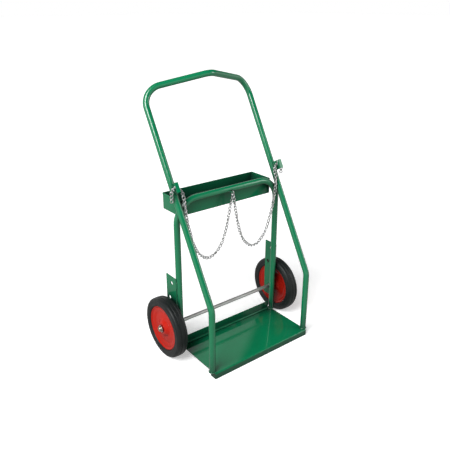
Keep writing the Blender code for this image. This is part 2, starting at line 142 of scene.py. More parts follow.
# Each chain hangs in a plane just ahead of the rear frame's bar: (distance from the middle, height)
SWAG_Y = AXLE_Y - 0.0530
SWAGS = {
    "left": (
        (0.0058, 0.626), (0.0165, 0.590), (0.0270, 0.539), (0.0400, 0.492), (0.0590, 0.449), (0.0870, 0.419),
        (0.1150, 0.4065), (0.1420, 0.412), (0.1740, 0.444), (0.1950, 0.488), (0.2110, 0.548), (0.2220, 0.601),
    ),
    "right": (
        (0.0050, 0.626), (0.0115, 0.585), (0.0230, 0.528), (0.0370, 0.477), (0.0570, 0.434), (0.0880, 0.403),
        (0.1120, 0.396), (0.1340, 0.401), (0.1590, 0.421), (0.1800, 0.450), (0.1970, 0.497),
        (0.2120, 0.549), (0.2220, 0.598),
    ),
}
SWAG_RISE = ((0.2270, -0.0525, 0.6420), (0.2290, -0.0490, 0.6740), (0.2300, -0.0410, 0.6980))

# Camera
CAMERA_AT = Vector((-1.2303, -1.5504, 1.3364))
CAMERA_TURN = -37.73
CAMERA_PITCH = 22.64
CAMERA_LENS = 42.30


# ---------------------------------------------------------------- camera


def camera():
    data = bpy.data.cameras.new("camera")
    data.lens = CAMERA_LENS
    data.sensor_width = 36.0
    data.clip_end = 200.0
    obj = bpy.data.objects.new("camera", data)
    obj.location = CAMERA_AT
    obj.rotation_euler = (math.radians(90 - CAMERA_PITCH), 0.0, math.radians(CAMERA_TURN))
    bpy.context.scene.collection.objects.link(obj)
    bpy.context.scene.camera = obj


# ---------------------------------------------------------------- materials


# Dark colour painted into recesses as shade by the enamel's ambient-occlusion mix
PAINTED_SHADE = (0.0040, 0.014, 0.011, 1.0)
GREEN = (0.0026, 0.172, 0.069, 1.0)
GREEN_THIN = (0.016, 0.215, 0.105, 1.0)
GREEN_DEEP = (0.0020, 0.098, 0.036, 1.0)
RED = (0.52, 0.0150, 0.0060, 1.0)
RED_THIN = (0.52, 0.030, 0.022, 1.0)
RED_DEEP = (0.30, 0.0080, 0.0040, 1.0)
# Dark colour painted into the red paint's recesses as shade by the ambient-occlusion mix
RED_PAINTED_SHADE = (0.14, 0.0050, 0.0030, 1.0)
DUST = (0.30, 0.36, 0.33, 1.0)


def add(tree, kind, settings=None, **inputs):
    """A node with its settings and inputs; an input is a value or another node's output."""
    node = tree.nodes.new(kind)
    for key, value in (settings or {}).items():
        setattr(node, key, value)
    for key, value in inputs.items():
        put(tree, value, node.inputs[key.replace("_", " ")])
    return node


def put(tree, value, socket):
    if isinstance(value, bpy.types.NodeSocket):
        tree.links.new(value, socket)
    else:
        socket.default_value = value


def graph(name):
    made = bpy.data.materials.new(name)
    made.use_nodes = True
    return made, made.node_tree, made.node_tree.nodes["Principled BSDF"]


def noise(tree, place, scale, detail=2.0, stretch=None):
    if stretch:
        place = add(tree, "ShaderNodeMapping", Vector=place, Scale=stretch).outputs["Vector"]
    return add(tree, "ShaderNodeTexNoise", Vector=place, Scale=scale, Detail=detail).outputs["Fac"]


def remap(tree, value, low, high, to_low, to_high):
    names = ("From Min", "From Max", "To Min", "To Max")
    node = add(tree, "ShaderNodeMapRange", {"clamp": True}, Value=value)
    for key, number in zip(names, (low, high, to_low, to_high)):
        node.inputs[key].default_value = number
    return node.outputs["Result"]


def multiply(tree, a, b):
    node = add(tree, "ShaderNodeMath", {"operation": "MULTIPLY"})
    put(tree, a, node.inputs[0])
    put(tree, b, node.inputs[1])
    return node.outputs["Value"]


def mixed(tree, factor, a, b):
    node = add(tree, "ShaderNodeMix", {"data_type": "RGBA"})
    put(tree, factor, node.inputs[0])
    put(tree, a, node.inputs[6])
    put(tree, b, node.inputs[7])
    return node.outputs[2]


def bumped(tree, height, distance, strength, below=None):
    node = add(tree, "ShaderNodeBump", Height=height, Distance=distance, Strength=strength)
    if below:
        tree.links.new(below, node.inputs["Normal"])
    return node.outputs["Normal"]


def enamel(name, colour, thin, deep, waves=0.0, gloss=(0.05, 0.09), specular=0.40, worn=True, painted_shade=PAINTED_SHADE):
    """Gloss paint: cloudy colour, orange peel, painted shade in recesses, a trace of dust on top.

    `worn` adds thin paint on edges and thick paint in corners. It reads the mesh's own curvature, so it
    suits only evenly divided meshes, not the big flat faces of sheet parts.
    """
    made, tree, shader = graph(name)
    place = add(tree, "ShaderNodeTexCoord").outputs["Object"]
    shape = add(tree, "ShaderNodeNewGeometry")
    clouds = noise(tree, place, 9.0, 4.0)
    grain = noise(tree, place, 130.0, 3.0)
    base = mixed(tree, remap(tree, clouds, 0.3, 0.7, 0.0, 0.16), colour, deep)
    base = mixed(tree, remap(tree, grain, 0.35, 0.75, 0.0, 0.10), base, thin)
    if worn:
        edge = remap(tree, shape.outputs["Pointiness"], 0.53, 0.62, 0.0, 0.5)
        base = mixed(tree, multiply(tree, edge, remap(tree, grain, 0.35, 0.65, 0.5, 1.0)), base, thin)
        corner = remap(tree, shape.outputs["Pointiness"], 0.40, 0.485, 0.45, 0.0)
        base = mixed(tree, corner, base, deep)
    up = add(tree, "ShaderNodeSeparateXYZ", Vector=shape.outputs["Normal"]).outputs["Z"]
    settled = remap(tree, noise(tree, place, 36.0, 5.0), 0.5, 0.8, 0.0, 0.005)
    dust = multiply(tree, remap(tree, up, 0.5, 1.0, 0.0, 1.0), settled)
    base = mixed(tree, dust, base, DUST)
    # Painted shade: the colour is pulled towards a dark shade colour wherever ambient occlusion finds nearby
    # surfaces, such as inside the tray and at joints
    occlusion_for_shade = add(tree, "ShaderNodeAmbientOcclusion", {"samples": 8}, Distance=0.16).outputs["AO"]
    base = mixed(tree, remap(tree, occlusion_for_shade, 0.36, 0.98, 0.95, 0.0), base, painted_shade)
    tree.links.new(base, shader.inputs["Base Color"])
    tree.links.new(remap(tree, noise(tree, place, 24.0, 4.0), 0.3, 0.7, *gloss), shader.inputs["Roughness"])
    normal = bumped(tree, noise(tree, place, 430.0, 1.0), 0.00004, 0.30)
    if waves:
        normal = bumped(tree, noise(tree, place, 11.0, 1.0), waves, 1.0, normal)
    tree.links.new(normal, shader.inputs["Normal"])
    shader.inputs["IOR"].default_value = 1.52
    shader.inputs["Specular IOR Level"].default_value = specular
    return made


def rubber(name):
    """Moulded black rubber, greyer where it has been handled."""
    made, tree, shader = graph(name)
    place = add(tree, "ShaderNodeTexCoord").outputs["Object"]
    shape = add(tree, "ShaderNodeNewGeometry")
    scuffs = remap(tree, noise(tree, place, 28.0, 6.0), 0.45, 0.75, 0.0, 0.5)
    base = mixed(tree, scuffs, (0.0075, 0.0095, 0.0095, 1.0), (0.018, 0.021, 0.020, 1.0))
    edge = remap(tree, shape.outputs["Pointiness"], 0.52, 0.62, 0.0, 0.5)
    base = mixed(tree, edge, base, (0.040, 0.043, 0.042, 1.0))
    tree.links.new(base, shader.inputs["Base Color"])
    polish = remap(tree, noise(tree, place, 60.0, 4.0), 0.3, 0.7, 0.36, 0.52)
    tree.links.new(polish, shader.inputs["Roughness"])
    normal = bumped(tree, noise(tree, place, 900.0, 3.0), 0.00006, 0.5)
    tree.links.new(bumped(tree, noise(tree, place, 45.0, 2.0), 0.0003, 0.3, normal), shader.inputs["Normal"])
    shader.inputs["Specular IOR Level"].default_value = 0.28
    return made


def zinc(name, colour=(0.50, 0.50, 0.51, 1.0), warm=(0.46, 0.44, 0.41, 1.0), rough=(0.28, 0.46)):
    """Bright zinc plating: cloudy, faintly yellow in places, dull spangle."""
    made, tree, shader = graph(name)
    place = add(tree, "ShaderNodeTexCoord").outputs["Object"]
    shape = add(tree, "ShaderNodeNewGeometry")
    clouds = noise(tree, place, 90.0, 4.0)
    base = mixed(tree, remap(tree, clouds, 0.42, 0.68, 0.0, 0.6), colour, warm)
    corner = remap(tree, shape.outputs["Pointiness"], 0.38, 0.48, 0.5, 0.0)
    base = mixed(tree, corner, base, (0.16, 0.15, 0.14, 1.0))
    tree.links.new(base, shader.inputs["Base Color"])
    tree.links.new(remap(tree, noise(tree, place, 300.0, 3.0), 0.3, 0.7, *rough), shader.inputs["Roughness"])
    tree.links.new(bumped(tree, noise(tree, place, 700.0, 3.0), 0.00003, 0.4), shader.inputs["Normal"])
    shader.inputs["Metallic"].default_value = 1.0
    return made


def turned_steel(name):
    """Cold drawn bar: fine lines along its length, faint stains across."""
    made, tree, shader = graph(name)
    place = add(tree, "ShaderNodeTexCoord").outputs["Object"]
    lines = noise(tree, place, 1.0, 3.0, (12.0, 1500.0, 1500.0))
    stains = noise(tree, place, 22.0, 5.0)
    stains = remap(tree, stains, 0.45, 0.75, 0.0, 0.7)
    base = mixed(tree, stains, (0.62, 0.605, 0.60, 1.0), (0.44, 0.41, 0.40, 1.0))
    tree.links.new(base, shader.inputs["Base Color"])
    tree.links.new(remap(tree, lines, 0.3, 0.7, 0.40, 0.56), shader.inputs["Roughness"])
    tree.links.new(bumped(tree, lines, 0.00002, 0.5), shader.inputs["Normal"])
    shader.inputs["Metallic"].default_value = 1.0
    return made


def floor_material():
    """White sweep that glows by itself as painted light: faintly near the cart, which lightens its shadows
    there, and fully from 3.5 m out, as a lit cove looks.
    """
    made, tree, shader = graph("floor_mat")
    place = add(tree, "ShaderNodeTexCoord").outputs["Object"]
    base = mixed(tree, noise(tree, place, 3.0, 3.0), (0.84, 0.84, 0.84, 1.0), (0.87, 0.87, 0.87, 1.0))
    tree.links.new(base, shader.inputs["Base Color"])
    far = add(tree, "ShaderNodeVectorMath", {"operation": "LENGTH"}, Vector=place).outputs["Value"]
    # Painted light: emission from 0.40 near the cart's middle up to 1.0 further out
    tree.links.new(remap(tree, far, 0.5, 3.5, 0.40, 1.0), shader.inputs["Emission Strength"])
    shader.inputs["Emission Color"].default_value = (1.0, 1.0, 1.0, 1.0)
    shader.inputs["Roughness"].default_value = 0.9
    shader.inputs["Specular IOR Level"].default_value = 0.1
    return made


GREENS = (GREEN, GREEN_THIN, GREEN_DEEP)
TUBE_PAINT = enamel("tube_paint", *GREENS, gloss=(0.13, 0.20), specular=0.60)
SHEET_PAINT = enamel("sheet_paint", *GREENS, waves=0.00012, gloss=(0.035, 0.06), specular=0.36, worn=False)
RED_PAINT = enamel("red_paint", RED, RED_THIN, RED_DEEP, gloss=(0.20, 0.30), specular=0.14, painted_shade=RED_PAINTED_SHADE)
TYRE_RUBBER = rubber("tyre_rubber")
CHAIN_ZINC = zinc("chain_zinc")
CAP_ZINC = zinc("cap_zinc", (0.44, 0.38, 0.31, 1.0), (0.34, 0.26, 0.17, 1.0), (0.26, 0.40))
AXLE_STEEL = turned_steel("axle_steel")


# ---------------------------------------------------------------- mesh tools


def piece(name, points, faces, finish, body, slot, replaced=(), sharp=35):
    """A closed mesh piece of the cart that rides on a body and may stand for CAD nodes."""
    mesh = bpy.data.meshes.new(name)
    mesh.from_pydata([tuple(p) for p in points], [], faces)
    work = bmesh.new()
    work.from_mesh(mesh)
    bmesh.ops.remove_doubles(work, verts=work.verts, dist=1e-6)
    bmesh.ops.recalc_face_normals(work, faces=work.faces)
    work.to_mesh(mesh)
    work.free()
    mesh.shade_smooth()
    mesh.set_sharp_from_angle(angle=math.radians(sharp))
    obj = bpy.data.objects.new(name, mesh)
    bpy.context.scene.collection.objects.link(obj)
    mesh.materials.append(finish)
    if body:
        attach(obj, body)
    if replaced:
        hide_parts(*replaced)
    return obj


def ring_faces(rings, closed_path):
    """Quads between successive rings of equal length."""
    count = len(rings[0])
    faces = []
    spans = len(rings) if closed_path else len(rings) - 1
    for i in range(spans):
        j = (i + 1) % len(rings)
        for k in range(count):
            m = (k + 1) % count
            faces.append((i * count + k, i * count + m, j * count + m, j * count + k))
    return faces


def filleted(points, radii, step=math.radians(4)):
    """A polyline with each inner corner turned into an arc of its own radius."""
    path = [Vector(points[0])]
    for i in range(1, len(points) - 1):
        before, here, after = (Vector(points[i + k]) for k in (-1, 0, 1))
        into = (here - before).normalized()
        out = (after - here).normalized()
        turn = into.angle(out)
        radius = radii[i - 1]
        start = here - into * radius * math.tan(turn / 2)
        side = (out - into * out.dot(into)).normalized()
        centre = start + side * radius
        count = max(2, math.ceil(turn / step))
        for k in range(count + 1):
            angle = turn * k / count
            path.append(centre - side * radius * math.cos(angle) + into * radius * math.sin(angle))
    path.append(Vector(points[-1]))
    return path


def frames_along(path, closed=False):
    """(point, side, up) at each point, turned as little as possible from one to the next."""
    count = len(path)
    tangents = []
    for i in range(count):
        if closed:
            tangent = path[(i + 1) % count] - path[i - 1]
        elif i == 0:
            tangent = path[1] - path[0]
        elif i == count - 1:
            tangent = path[-1] - path[-2]
        else:
            tangent = (path[i + 1] - path[i]).normalized() + (path[i] - path[i - 1]).normalized()
        tangents.append(tangent.normalized())
    guess = Vector((0, 0, 1)) if abs(tangents[0].z) < 0.9 else Vector((0, 1, 0))
    side = tangents[0].cross(guess).normalized()
    frames = []
    for i in range(count):
        side = (side - tangents[i] * side.dot(tangents[i])).normalized()
        frames.append((path[i], side, tangents[i].cross(side)))
    return frames


def circle_ring(frame_at, radius, segments):
    point, side, up = frame_at
    turns = [2 * math.pi * k / segments for k in range(segments)]
    return [point + side * radius * math.cos(t) + up * radius * math.sin(t) for t in turns]


def rod(path, radii, segments):
    """(points, faces) of a round rod with flat ends; radii is one number or one per point."""
    if isinstance(radii, float):
        radii = [radii] * len(path)
    rings = [circle_ring(f, r, segments) for f, r in zip(frames_along(path), radii)]
    points = sum(rings, [])
    faces = ring_faces(rings, False)
    faces.append(tuple(range(segments)))
    faces.append(tuple(range(len(points) - segments, len(points))))
    return points, faces


def rounded_profile(pairs, radius, closed=True, steps=4):
    """A profile whose corners are rounded by up to `radius`, less where its runs are short."""
    points = [Vector(p) for p in pairs]
    count = len(points)
    result = []
    for i in range(count):
        here = points[i]
        if not closed and i in (0, count - 1):
            result.append(tuple(here))
            continue
        before, after = points[i - 1], points[(i + 1) % count]
        into, out = here - before, after - here
        reach = min(radius, into.length * 0.45, out.length * 0.45)
        start = here - into.normalized() * reach
        end = here + out.normalized() * reach
        for k in range(steps + 1):
            t = k / steps
            result.append(tuple(start * (1 - t) ** 2 + here * 2 * t * (1 - t) + end * t * t))
    return result


def turned(name, profile, centre, finish, body, slot, replaced=(), segments=128, closed=True, sharp=35):
    """Turns (x, r) pairs about the X axis through centre. An open profile starts and ends on the axis."""
    rings = []
    for x, r in profile:
        count = 1 if r < 1e-7 else segments
        turns = [2 * math.pi * k / segments for k in range(count)]
        rings.append([Vector((x, centre.y + r * math.cos(t), centre.z + r * math.sin(t))) for t in turns])
    points, rows = [], []
    for ring in rings:
        rows.append(range(len(points), len(points) + len(ring)))
        points += ring
    faces = []
    for i in range(len(rows) if closed else len(rows) - 1):
        a, b = rows[i], rows[(i + 1) % len(rows)]
        if len(a) == 1 and len(b) == 1:
            continue
        for k in range(segments):
            m = (k + 1) % segments
            corners = (a[k % len(a)], a[m % len(a)], b[m % len(b)], b[k % len(b)])
            faces.append(tuple(dict.fromkeys(corners)))
    return piece(name, points, faces, finish, body, slot, replaced, sharp)


def prism(outline, axis, low, high):
    """(points, faces): the outline's pairs fill the two axes other than `axis`, in order."""
    others = [i for i in range(3) if i != axis]
    points = []
    for level in (low, high):
        for pair in outline:
            p = [0.0, 0.0, 0.0]
            p[axis] = level
            p[others[0]], p[others[1]] = pair
            points.append(Vector(p))
    n = len(outline)
    faces = [tuple(range(n)), tuple(range(2 * n - 1, n - 1, -1))]
    faces += [(k, (k + 1) % n, n + (k + 1) % n, n + k) for k in range(n)]
    return points, faces


def rounded_outline(x0, x1, y0, y1, radius, steps=8):
    points = []
    for cx, cy, quarter in ((x1, y1, 0), (x0, y1, 1), (x0, y0, 2), (x1, y0, 3)):
        mx = cx - radius if cx == x1 else cx + radius
        my = cy - radius if cy == y1 else cy + radius
        for k in range(steps + 1):
            turn = math.pi / 2 * (quarter + k / steps)
            points.append((mx + radius * math.cos(turn), my + radius * math.sin(turn)))
    return points


def arc(cx, cy, radius, start, end, steps=10):
    turns = [math.radians(start + (end - start) * k / steps) for k in range(steps + 1)]
    return [(cx + radius * math.cos(t), cy + radius * math.sin(t)) for t in turns]


def tool_piece(name, points, faces):
    """A mesh used by a Boolean and removed afterwards."""
    return piece(name, points, faces, SHEET_PAINT, None, None)


def combined(target, others, operation):
    """Cuts or joins the others into target and applies it."""
    for other in others:
        modifier = target.modifiers.new("combine", "BOOLEAN")
        modifier.operation = operation
        modifier.solver = "EXACT"
        modifier.object = other
        with bpy.context.temp_override(object=target, active_object=target):
            bpy.ops.object.modifier_apply(modifier="combine")
        bpy.data.objects.remove(other, do_unlink=True)


def eased(obj, width):
    """Rounds the sharp edges of sheet metal."""
    obj.data.shade_smooth()
    modifier = obj.modifiers.new("ease", "BEVEL")
    modifier.width = width
    modifier.segments = 3
    modifier.limit_method = "ANGLE"
    modifier.angle_limit = math.radians(40)
    modifier.harden_normals = True


# ---------------------------------------------------------------- tubes


def side_y(z):
    """Centre of the sloping tube at height z."""
    return FRONT_Y + (HANDLE_Y - FRONT_Y) * (z - KNEE_Z) / (HANDLE_Z - KNEE_Z)


def side_x(z):
    return FOOT_X + (HANDLE_X - FOOT_X) * (z - KNEE_Z) / (HANDLE_Z - KNEE_Z)


def slope():
    """(dy, dz) of the sloping tubes, upward, of unit length."""
    dy, dz = HANDLE_Y - FRONT_Y, HANDLE_Z - KNEE_Z
    length = math.hypot(dy, dz)
    return dy / length, dz / length


def handle_path():
    dy, dz = slope()
    cross = (0.0, HANDLE_Y - dz * CROSS_PUSH, HANDLE_Z + dy * CROSS_PUSH)
    points = [
        (-FOOT_X, FRONT_Y, FOOT_Z), (-FOOT_X, FRONT_Y, KNEE_Z), (-HANDLE_X, HANDLE_Y, HANDLE_Z), cross,
        (HANDLE_X, HANDLE_Y, HANDLE_Z), (FOOT_X, FRONT_Y, KNEE_Z), (FOOT_X, FRONT_Y, FOOT_Z),
    ]
    return filleted(points, [KNEE_BEND_R, HANDLE_BEND_R, CROSS_BEND_R, HANDLE_BEND_R, KNEE_BEND_R])


def rear_path():
    points = [
        (-REAR_X, REAR_Y, FOOT_Z), (-REAR_X, REAR_Y, REAR_BAR_Z),
        (REAR_X, REAR_Y, REAR_BAR_Z), (REAR_X, REAR_Y, FOOT_Z),
    ]
    return filleted(points, [REAR_BEND_R, REAR_BEND_R])


def tubes():
    for name, path in (("main_frame_tube", handle_path()), ("rear_frame_tube", rear_path())):
        points, faces = rod(path, TUBE_R, 48)
        piece(name + "_skin", points, faces, TUBE_PAINT, "cart", name, [name])


# ---------------------------------------------------------------- sheet parts


def base_plate():
    """Sheet with a lip folded down at the front and a flange folded up between the rear tubes."""
    low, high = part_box("base_plate")
    front, rear_end, side = low.y, high.y, high.x
    top, under, r, t = PLATE_TOP, PLATE_TOP - PLATE_T, LIP_BEND_R, PLATE_T
    outline = [(front + t, 0.0), (front, 0.0)]
    outline += arc(front + r, top - r, r, 180, 90)
    outline += [(rear_end, top), (rear_end, under)]
    outline += arc(front + r, top - r, r - t, 90, 180)
    plate = piece(
        "base_plate_skin", *prism(outline, 0, -side, side), SHEET_PAINT, "cart", "base_plate", ["base_plate"]
    )
    inner_x = REAR_X - TUBE_R - 0.0010
    notch = rounded_outline(-inner_x, inner_x, FLANGE_Y - 0.010, rear_end + 0.010, 0.0005, 1)
    combined(plate, [tool_piece("notch", *prism(notch, 2, under - 0.01, top + 0.01))], "DIFFERENCE")
    fr = FLANGE_BEND_R
    flange = [(FLANGE_Y - 0.0102, top), (FLANGE_Y - 0.0102, under)]
    flange += arc(FLANGE_Y - fr, under + fr + t, fr + t, -90, 0)
    flange += [(FLANGE_Y + t, high.z), (FLANGE_Y, high.z)]
    flange += arc(FLANGE_Y - fr, top + fr, fr, 0, -90)
    joined = [tool_piece("flange", *prism(flange, 0, -inner_x + 0.0005, inner_x - 0.0005))]
    for sign in (-1, 1):
        ends = sorted((sign * side, sign * (side - t)))
        tab = [(ends[0], front + 0.0045), (ends[1], front + 0.0045)]
        tab += [(ends[1], front + TAB_DEPTH), (ends[0], front + TAB_DEPTH)]
        joined.append(tool_piece(f"tab_{sign}", *prism(tab, 2, 0.0, top - 0.0012)))
    combined(plate, joined, "UNION")
    eased(plate, 0.0005)


def tray():
    """Open-topped box, its rim folded outward into a flat hem."""
    low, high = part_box("tray")
    hem, t = TRAY_HEM, TRAY_T
    hem_z = high.z - TRAY_HEM_H
    bend = 0.0022
    levels = [(hem + bend, low.z), (hem + bend * 0.5, low.z + bend * 0.12)]
    levels += [(hem + bend * 0.12, low.z + bend * 0.5), (hem, low.z + bend), (hem, hem_z - 0.0006)]
    levels += [(hem * 0.6, hem_z - 0.0001), (0.0, hem_z + 0.0006), (0.0, high.z - 0.0009)]
    for k in range(1, 7):
        turn = math.pi * k / 7
        reach = (hem + t) / 2
        levels.append((reach - reach * math.cos(turn), high.z - 0.0009 + 0.0009 * math.sin(turn)))
    levels += [(hem + t, high.z - 0.0009), (hem + t, low.z + t + 0.0030)]
    levels += [(hem + t + 0.0009, low.z + t + 0.0009), (hem + t + 0.0030, low.z + t)]
    rings = []
    for inset, z in levels:
        radius = TRAY_CORNER_R + hem - inset if inset < TRAY_CORNER_R + hem - 0.0004 else 0.0004
        pairs = rounded_outline(low.x + inset, high.x - inset, low.y + inset, high.y - inset, radius)
        rings.append([Vector((x, y, z)) for x, y in pairs])
    n = len(rings[0])
    faces = ring_faces(rings, False)
    faces.append(tuple(range(n)))
    faces.append(tuple(range((len(rings) - 1) * n, len(rings) * n)))
    piece("tray_skin", sum(rings, []), faces, SHEET_PAINT, "cart", "tray", ["tray"])


def axle_bracket(side, sign):
    name = "axle_bracket_" + side
    low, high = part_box(name)
    outline = rounded_outline(low.y, high.y, low.z, high.z, BRACKET_CORNER_R)
    plate = piece(name + "_skin", *prism(outline, 0, low.x, high.x), SHEET_PAINT, "cart", name, [name])
    holes = [(AXLE_Y, AXLE.z, AXLE_R + GAP)] + [(y, z, SPARE_HOLE_R) for y, z in SPARE_HOLES]
    cutters = []
    for y, z, radius in holes:
        circle = [(y + a, z + b) for a, b in arc(0.0, 0.0, radius, 0, 360, 48)[:-1]]
        cutters.append(tool_piece("hole", *prism(circle, 0, low.x - 0.01, high.x + 0.01)))
    combined(plate, cutters, "DIFFERENCE")
    eased(plate, 0.0005)


def keeper(side, sign):
    """Slotted plate on the front of the sloping tube, with its front edge folded outward."""
    dy, dz = slope()
    centre = Vector((0.0, side_y(KEEPER_Z), KEEPER_Z))
    x = side_x(KEEPER_Z)

    def at(u, v):
        """u runs up the tube, v runs forward from its centre."""
        return (centre.y + dy * u - dz * v, centre.z + dz * u + dy * v)

    def sheet(name, from_v, x_low, x_high):
        outline = [at(-KEEPER_HALF, from_v), at(-KEEPER_HALF, KEEPER_REACH)]
        outline += [at(KEEPER_HALF, KEEPER_REACH), at(KEEPER_HALF, from_v)]
        return prism(outline, 0, *sorted((sign * x_low, sign * x_high)))

    name = "keeper_" + side
    body = sheet(name, TUBE_R - 0.0006, x - KEEPER_T / 2, x + KEEPER_T / 2)
    plate = piece(name + "_skin", *body, SHEET_PAINT, "cart", name, [name])
    fold = sheet("fold", KEEPER_REACH - KEEPER_T, x - KEEPER_T / 2, x + KEEPER_T / 2 + KEEPER_FLANGE)
    combined(plate, [tool_piece("fold", *fold)], "UNION")
    bottom = SLOT_LINK_Z - LINK_SIDE - WIRE_R - GAP
    slot = arc(SLOT_Y, bottom + SLOT_W / 2, SLOT_W / 2, 180, 360, 12)
    slot += [(SLOT_Y + SLOT_W / 2, bottom + 0.08), (SLOT_Y - SLOT_W / 2, bottom + 0.08)]
    ends = sorted((sign * (x - 0.004), sign * (x + 0.004)))
    combined(plate, [tool_piece("slot", *prism(slot, 0, *ends))], "DIFFERENCE")
    eased(plate, 0.0005)


# ---------------------------------------------------------------- wheels


def tyre_profile():
    """(offset from the middle, radius): bead, sidewall with two moulded lines, ribbed tread."""
    h, top, bead = TYRE_HALF, WHEEL_R, RIM_R + GAP
    outer = [
        (h - 0.0062, bead), (h - 0.0030, bead + 0.0012),
        (h - 0.0012, bead + 0.0036), (h - 0.0010, bead + 0.0062),
        (h - 0.0004, bead + 0.0066), (h - 0.0004, bead + 0.0078), (h - 0.0008, bead + 0.0082),
        (h - 0.0001, bead + 0.0160), (h - 0.0003, bead + 0.0210), (h + 0.0001, bead + 0.0214),
        (h + 0.0001, bead + 0.0226), (h - 0.0006, bead + 0.0230),
        (h - 0.0022, top - 0.0065), (h - 0.0040, top - 0.0036), (h - 0.0070, top - 0.0018),
        (0.0105, top - 0.0003), (0.0098, top - 0.0026), (0.0068, top - 0.0026), (0.0060, top),
    ]
    return outer + [(-x, r) for x, r in reversed(outer)]


def rim_profile():
    """Pressed disc half: hub seat, dished web, shoulder and rolled edge."""
    thick = 0.0016
    bore = HUB_R + GAP
    face = [
        (0.0230, bore), (0.0230, 0.0230), (0.0120, 0.0380), (0.0105, 0.0660),
        (0.0145, 0.0770), (0.0145, 0.0840), (0.0205, RIM_R - 0.0020),
    ]
    back = [(x - thick, r) for x, r in face[:-1]]
    back.append((face[-1][0] - 0.0012, RIM_R - 0.0002))
    return face + back[::-1]


def wheel(side, sign):
    centre = Vector((sign * WHEEL_X, AXLE_Y, AXLE.z))
    body = "wheel_" + side

    def place(pairs, flip=1):
        return [(centre.x + sign * flip * x, r) for x, r in pairs]

    tread = rounded_profile(tyre_profile(), 0.0009, steps=3)
    node = "tyre_" + side
    turned(node + "_skin", place(tread), centre, TYRE_RUBBER, body, node, [node], 192, sharp=50)
    for label, flip in (("rim_outer", 1), ("rim_inner", -1)):
        node = f"{label}_{side}"
        pairs = rounded_profile(rim_profile(), 0.0040, steps=6)
        turned(node + "_skin", place(pairs, flip), centre, RED_PAINT, body, node, [node], sharp=60)
    for label, finish, owner in (
        ("hub", RED_PAINT, body), ("washer_inner", CHAIN_ZINC, "cart"), ("washer_outer", CHAIN_ZINC, "cart"),
    ):
        node = f"{label}_{side}"
        low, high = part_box(node)
        bore = AXLE_R + (GAP if label != "hub" else 0.0001)
        radius = (high.z - low.z) / 2
        pairs = [(low.x, bore), (low.x, radius), (high.x, radius), (high.x, bore)]
        turned(node + "_skin", rounded_profile(pairs, 0.0004), centre, finish, owner, node, [node], 96)
    axle_cap(side, sign, centre)


def axle_cap(side, sign, centre):
    node = "axle_cap_" + side
    low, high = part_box(node)
    start = low.x if sign > 0 else high.x
    shell = [
        (0.0, AXLE_R + GAP), (0.0, 0.0112), (0.0012, 0.0112), (0.0020, 0.0103), (0.0060, 0.0098),
        (0.0082, 0.0080), (0.0090, 0.0055), (0.0092, 0.0),
    ]
    inner = [(0.0080, 0.0), (0.0078, 0.0048), (0.0066, AXLE_R + GAP)]
    pairs = rounded_profile(shell, 0.0008, closed=False) + inner
    placed = [(start + sign * x, r) for x, r in pairs]
    turned(node + "_skin", placed, centre, CAP_ZINC, "cart", node, [node], 64, sharp=50)


def axle():
    c = 0.0012
    pairs = [
        (-AXLE_HALF, 0.0), (-AXLE_HALF, AXLE_R - c), (-AXLE_HALF + c, AXLE_R),
        (AXLE_HALF - c, AXLE_R), (AXLE_HALF, AXLE_R - c), (AXLE_HALF, 0.0),
    ]
    turned("axle_skin", pairs, AXLE, AXLE_STEEL, "cart", "axle", ["axle"], 64, closed=False)


# ---------------------------------------------------------------- chain


def link_mesh(centre, along, across_rear, twist=0.0, side=LINK_SIDE):
    """(points, faces) of one oval link whose front end is turned by `twist` about its length."""
    steps, wire_sides = 8, 10
    straight = LINK_REACH - side
    normal = along.cross(across_rear).normalized()
    path = []
    for end in (1, -1):
        for k in range(steps + 1):
            turn = math.pi * (k / steps - 0.5)
            path.append((end * (straight + side * math.cos(turn)), end * side * math.sin(turn)))
        for k in range(1, 6):
            path.append((end * straight * (1 - k / 3), end * side))
    line = []
    for a, b in path:
        t = min(1.0, max(0.0, (a + straight) / (2 * straight)))
        angle = twist * t * t * (3 - 2 * t)
        across = across_rear * math.cos(angle) + normal * math.sin(angle)
        line.append(centre + along * a + across * b)
    rings = [circle_ring(f, WIRE_R, wire_sides) for f in closed_frames(line)]
    return sum(rings, []), ring_faces(rings, True)


def closed_frames(path):
    """Frames round a closed path, with the turn left over at its end shared out along it."""
    frames = frames_along(path + [path[0]], closed=False)
    count = len(path)
    tangents = [(path[(i + 1) % count] - path[i - 1]).normalized() for i in range(count)]
    side = frames[0][1]
    sides = []
    for i in range(count + 1):
        tangent = tangents[i % count]
        side = (side - tangent * side.dot(tangent)).normalized()
        sides.append(side)
    up = tangents[0].cross(sides[0])
    left_over = math.atan2(sides[-1].dot(up), sides[-1].dot(sides[0]))
    result = []
    for i in range(count):
        angle = -left_over * i / count
        across = tangents[i].cross(sides[i])
        turned_side = sides[i] * math.cos(angle) + across * math.sin(angle)
        result.append((path[i], turned_side, tangents[i].cross(turned_side)))
    return result


def joined(meshes):
    points, faces = [], []
    for more_points, more_faces in meshes:
        faces += [tuple(i + len(points) for i in face) for face in more_faces]
        points += more_points
    return points, faces


